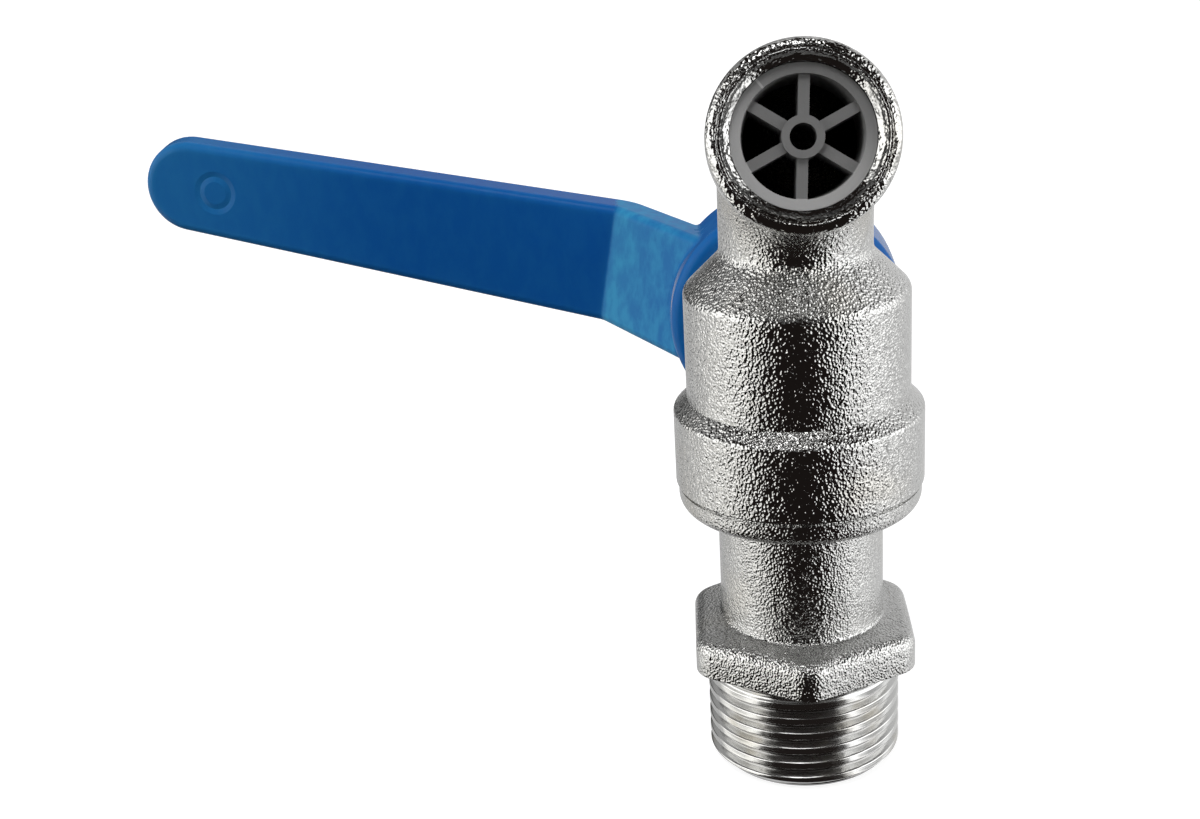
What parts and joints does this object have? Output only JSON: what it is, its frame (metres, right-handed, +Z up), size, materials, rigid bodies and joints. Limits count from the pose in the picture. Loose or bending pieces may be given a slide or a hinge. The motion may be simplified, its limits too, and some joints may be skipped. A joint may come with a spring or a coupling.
{
  "type": "hose tap",
  "caption": "Lever ball-valve hose tap in plated cast brass, with a threaded inlet and hexagon, a barrel body, a short bent spout holding a flow straightener and a blue lever behind.",
  "frame": {"origin": "centre of the inlet bore at the thread's end face, on which the tap stands", "axes": "+Z up the inlet axis, -Y the way the spout points, +Y out along the stem, -X the side on which the closed lever lies"},
  "size_m": [0.0914, 0.0639, 0.0818],
  "materials": {
    "plated_casting": "satin",
    "polished_ball": "polished",
    "bare_brass": "satin",
    "blue_lever": "gloss",
    "zinc_steel": "satin",
    "grey_plastic": "satin",
    "white_seal": "satin",
    "seal_rubber": "matte"
  },
  "bodies": {
    "tap": {"tap_body": "plated_casting", "inlet_connector": "plated_casting", "joint_o_ring": "seal_rubber", "inlet_seat_ring": "white_seal", "outlet_seat_ring": "white_seal", "stem_thrust_washer": "white_seal", "stem_packing": "white_seal", "gland_nut": "bare_brass", "flow_straightener": "grey_plastic"},
    "lever": {"lever_handle": "blue_lever", "lever_spring_washer": "zinc_steel", "lever_nut": "zinc_steel", "valve_stem": "bare_brass", "stem_o_ring": "seal_rubber", "valve_ball": "polished_ball"}
  },
  "joints": [
    {"name": "lever_turn", "type": "hinge", "parent": "tap", "child": "lever", "pos_m": [0, 0, 0.0446], "axis": [0, 1, 0], "range_deg": [-10, 80]}
  ]
}
